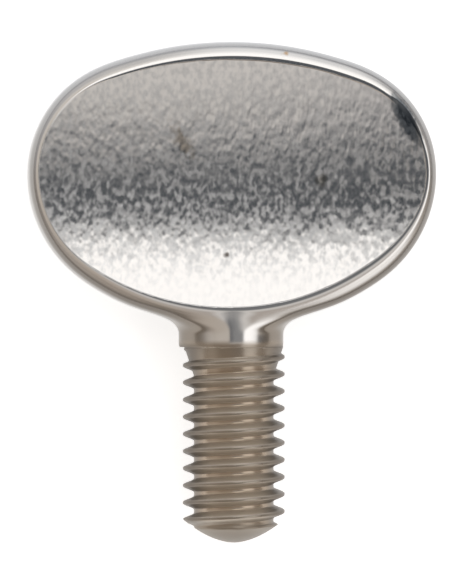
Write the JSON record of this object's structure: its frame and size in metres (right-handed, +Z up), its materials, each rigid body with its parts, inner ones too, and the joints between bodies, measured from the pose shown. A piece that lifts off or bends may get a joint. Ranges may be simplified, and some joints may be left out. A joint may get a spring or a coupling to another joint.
{
  "type": "thumb screw",
  "caption": "Thumb screw with a wide oval spade head, dished on its front and back, on a short right-hand threaded shank; turned by finger and thumb.",
  "frame": {"origin": "middle of the screw's footprint on the table that it lies on, at the table's height", "axes": "+Y along the screw from its point to the crown of its head, +X across the head, +Z up from the table"},
  "size_m": [0.0238, 0.0292, 0.0062],
  "materials": {
    "nickel_plate": "bright nickel plating over steel, finely pitted and a little worn"
  },
  "bodies": {
    "root": {"thumb_screw": "nickel_plate"}
  },
  "joints": []
}
